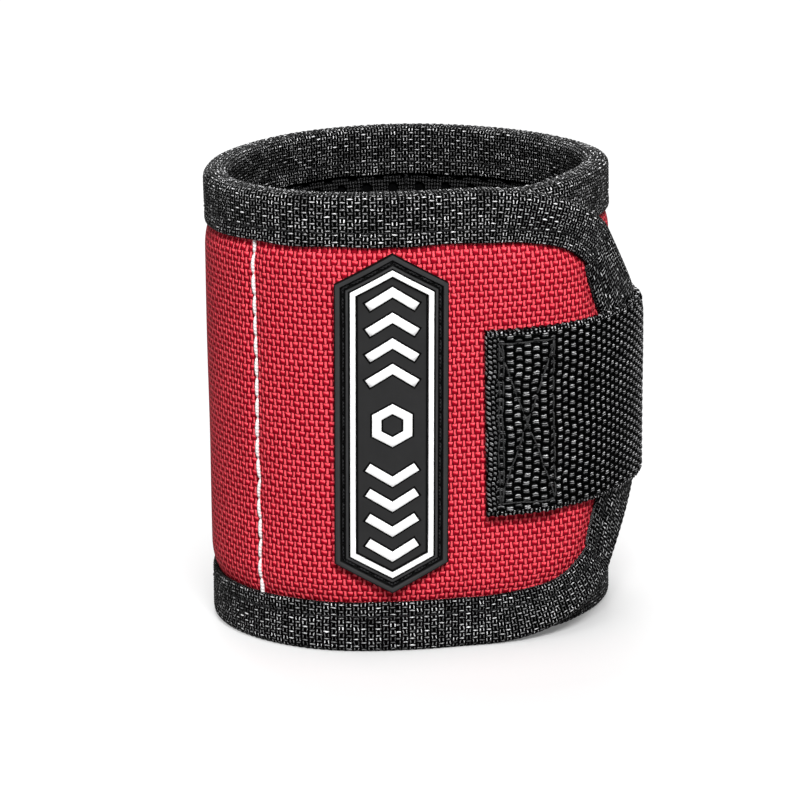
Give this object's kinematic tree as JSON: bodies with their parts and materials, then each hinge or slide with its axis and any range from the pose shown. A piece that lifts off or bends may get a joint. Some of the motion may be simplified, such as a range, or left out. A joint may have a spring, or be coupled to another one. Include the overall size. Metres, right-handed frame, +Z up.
{
  "type": "magnetic wristband",
  "caption": "Padded wristband rolled into a ring: bound fabric band with magnets in its pockets, rubber badge on the front and a webbing strap that fastens with hook and loop tape.",
  "frame": {"origin": "under the middle of the wristband's bounding box, on the plane it stands on", "axes": "+Z up along the ring's axis, -Y the front with the badge, +X the side of the strap"},
  "size_m": [0.0906, 0.0868, 0.094],
  "materials": {
    "shell_fabric": "coarse woven nylon, red",
    "pad_foam": "closed-cell foam",
    "lining_mesh": "knitted air mesh with round holes",
    "binding_tape": "woven binding tape, black",
    "webbing": "ribbed polypropylene webbing, black",
    "hook_tape": "hook tape, black",
    "loop_tape": "brushed loop tape, black",
    "magnet_plating": "nickel plating, satin",
    "badge_rubber": "soft moulded rubber, matt",
    "badge_white": "white moulded rubber, matt"
  },
  "bodies": {
    "magnet_zone": {"shell_magnet_zone": "shell_fabric", "pad_magnet_zone": "pad_foam", "lining_magnet_zone": "lining_mesh", "binding_top_magnet_zone": "binding_tape", "binding_bottom_magnet_zone": "binding_tape", "magnet_1_1": "magnet_plating", "magnet_1_2": "magnet_plating", "magnet_1_3": "magnet_plating", "magnet_2_1": "magnet_plating", "magnet_2_2": "magnet_plating", "magnet_2_3": "magnet_plating", "magnet_3_1": "magnet_plating", "magnet_3_2": "magnet_plating", "magnet_3_3": "magnet_plating", "magnet_4_1": "magnet_plating", "magnet_4_2": "magnet_plating", "magnet_4_3": "magnet_plating", "magnet_5_1": "magnet_plating", "magnet_5_2": "magnet_plating", "magnet_5_3": "magnet_plating", "loop_tape": "loop_tape"},
    "front_panel": {"shell_front_panel": "shell_fabric", "pad_front_panel": "pad_foam", "lining_front_panel": "lining_mesh", "binding_top_front_panel": "binding_tape", "binding_bottom_front_panel": "binding_tape", "badge_base": "badge_rubber", "badge_border": "badge_white"},
    "outer_end": {"shell_outer_end": "shell_fabric", "pad_outer_end": "pad_foam", "lining_outer_end": "lining_mesh", "binding_outer_end": "binding_tape", "strap_sewn": "webbing"},
    "strap_tongue": {"strap_tongue": "webbing", "hook_tape": "hook_tape"},
    "inner_end": {"shell_inner_end": "shell_fabric", "pad_inner_end": "pad_foam", "lining_inner_end": "lining_mesh", "binding_inner_end": "binding_tape"}
  },
  "joints": [
    {"name": "front_panel_swing", "type": "hinge", "parent": "magnet_zone", "child": "front_panel", "pos_m": [-0.03468, -0.03262, 0.047], "axis": [0, 0, -1], "range_deg": [0, 54]},
    {"name": "outer_end_swing", "type": "hinge", "parent": "front_panel", "child": "outer_end", "pos_m": [0.00723, -0.03868, 0.047], "axis": [0, 0, -1], "range_deg": [0, 90]},
    {"name": "strap_peel", "type": "hinge", "parent": "outer_end", "child": "strap_tongue", "pos_m": [0.04528, 0.00275, 0.047], "axis": [0, 0, -1], "range_deg": [0, 120]},
    {"name": "inner_end_swing", "type": "hinge", "parent": "magnet_zone", "child": "inner_end", "pos_m": [0.03811, -0.00205, 0.047], "axis": [0, 0, 1], "range_deg": [0, 40.5]}
  ],
  "couplings": [
    {"joint": "front_panel_swing", "follows": "outer_end_swing", "ratio": 0.6},
    {"joint": "inner_end_swing", "follows": "outer_end_swing", "ratio": 0.45}
  ]
}
